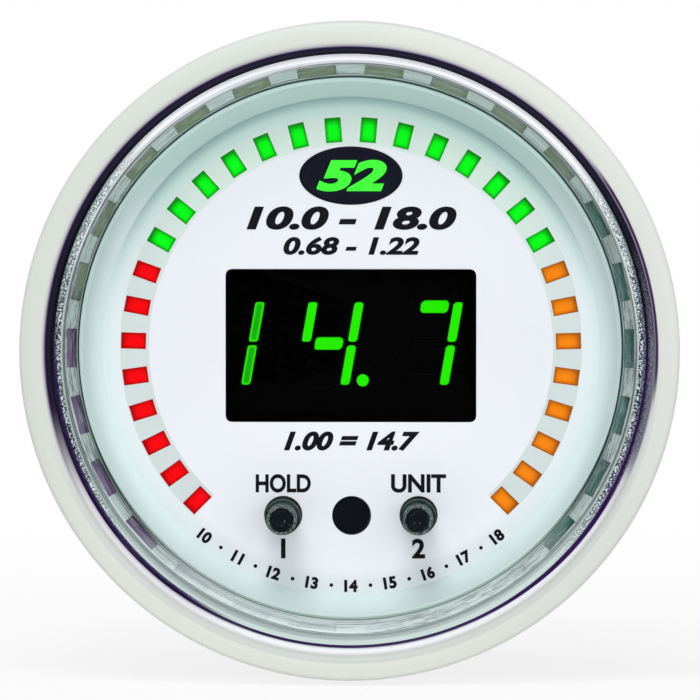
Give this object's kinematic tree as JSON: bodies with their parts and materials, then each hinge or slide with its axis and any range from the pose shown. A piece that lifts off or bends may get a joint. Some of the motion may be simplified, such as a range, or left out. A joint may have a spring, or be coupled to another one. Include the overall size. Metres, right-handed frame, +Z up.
{
  "type": "air fuel ratio gauge",
  "caption": "Round panel instrument that shows an air fuel ratio on lit digits and a sweep of coloured lights, with push buttons, a rear inlet and a clamp behind the panel.",
  "frame": {"origin": "middle of the panel hole: on the gauge's axis, in the plane where the back of the bezel rests on the panel", "axes": "+Y back through the panel, so the face looks along -Y; +Z up the dial; +X to the right seen from the front"},
  "size_m": [0.056, 0.059, 0.056],
  "materials": {
    "bezel_satin": "satin, bead blasted outside and polished at the throat",
    "gasket_rubber": "matt",
    "clear_lens": "clear polycarbonate, polished",
    "bright_ring": "bright metallised moulding",
    "reflector_teal": "smooth, slightly translucent",
    "dial_white": "printed satin",
    "badge_black": "gloss",
    "dark_filter": "smoked acrylic",
    "sensor_dark": "dark filter plastic",
    "light_green": "lit, moulded",
    "light_red": "lit, moulded",
    "light_amber": "lit, moulded",
    "baffle_black": "fine texture",
    "led_cream": "moulded",
    "digit_black": "satin",
    "segment_lit": "lit, diffusing epoxy",
    "segment_dark": "unlit epoxy",
    "tinned_lead": "tinned",
    "board_green": "solder mask",
    "chip_black": "moulded epoxy",
    "sleeve_grey": "satin",
    "button_black": "moulded",
    "dome_steel": "sprung sheet",
    "spacer_brass": "turned",
    "screw_steel": "zinc plated",
    "capacitor_sleeve": "shrunk sleeve",
    "gold_pin": "gold plated",
    "case_black": "moulded, fine texture",
    "inlet_cream": "moulded nylon",
    "zinc_steel": "zinc plated, brushed"
  },
  "bodies": {
    "gauge": {"bezel": "bezel_satin", "bezel_gasket": "gasket_rubber", "lens": "clear_lens", "lens_seat_ring": "bright_ring", "reflector_ring": "reflector_teal", "dial_face": "dial_white", "badge_plate": "badge_black", "display_filter": "dark_filter", "sensor_window": "sensor_dark", "green_lenses": "light_green", "red_lenses": "light_red", "amber_lenses": "light_amber", "light_baffle": "baffle_black", "bar_leds": "led_cream", "light_sensor": "sensor_dark", "digit_display": "digit_black", "lit_segments": "segment_lit", "unlit_segments": "segment_dark", "display_leads": "tinned_lead", "display_board": "board_green", "led_drivers": "chip_black", "button_sleeves": "sleeve_grey", "left_switch_dome": "dome_steel", "right_switch_dome": "dome_steel", "switch_bases": "chip_black", "switch_covers": "dome_steel", "board_spacers": "spacer_brass", "board_screws": "screw_steel", "control_board": "board_green", "processor": "chip_black", "voltage_regulator": "chip_black", "capacitors": "capacitor_sleeve", "link_headers": "chip_black", "link_pins": "gold_pin", "case": "case_black", "inlet_header": "inlet_cream", "inlet_pins": "gold_pin", "studs": "zinc_steel", "stud_nuts": "zinc_steel"},
    "left_button": {"left_button": "button_black", "left_switch_stem": "chip_black"},
    "right_button": {"right_button": "button_black", "right_switch_stem": "chip_black"},
    "clamp": {"clamp_bracket": "zinc_steel", "clamp_washers": "zinc_steel", "clamp_nuts": "zinc_steel"}
  },
  "joints": [
    {"name": "left_press", "type": "slide", "parent": "gauge", "child": "left_button", "axis": [0, 1, 0], "range_m": [0, 0.0004], "stiffness_N_per_m": 2000, "springref_m": -0.0004, "deforming": ["left_switch_dome"]},
    {"name": "right_press", "type": "slide", "parent": "gauge", "child": "right_button", "axis": [0, 1, 0], "range_m": [0, 0.0004], "stiffness_N_per_m": 2000, "springref_m": -0.0004, "deforming": ["right_switch_dome"]},
    {"name": "clamp_slide", "type": "slide", "parent": "gauge", "child": "clamp", "axis": [0, 1, 0], "range_m": [0, 0.06]}
  ]
}
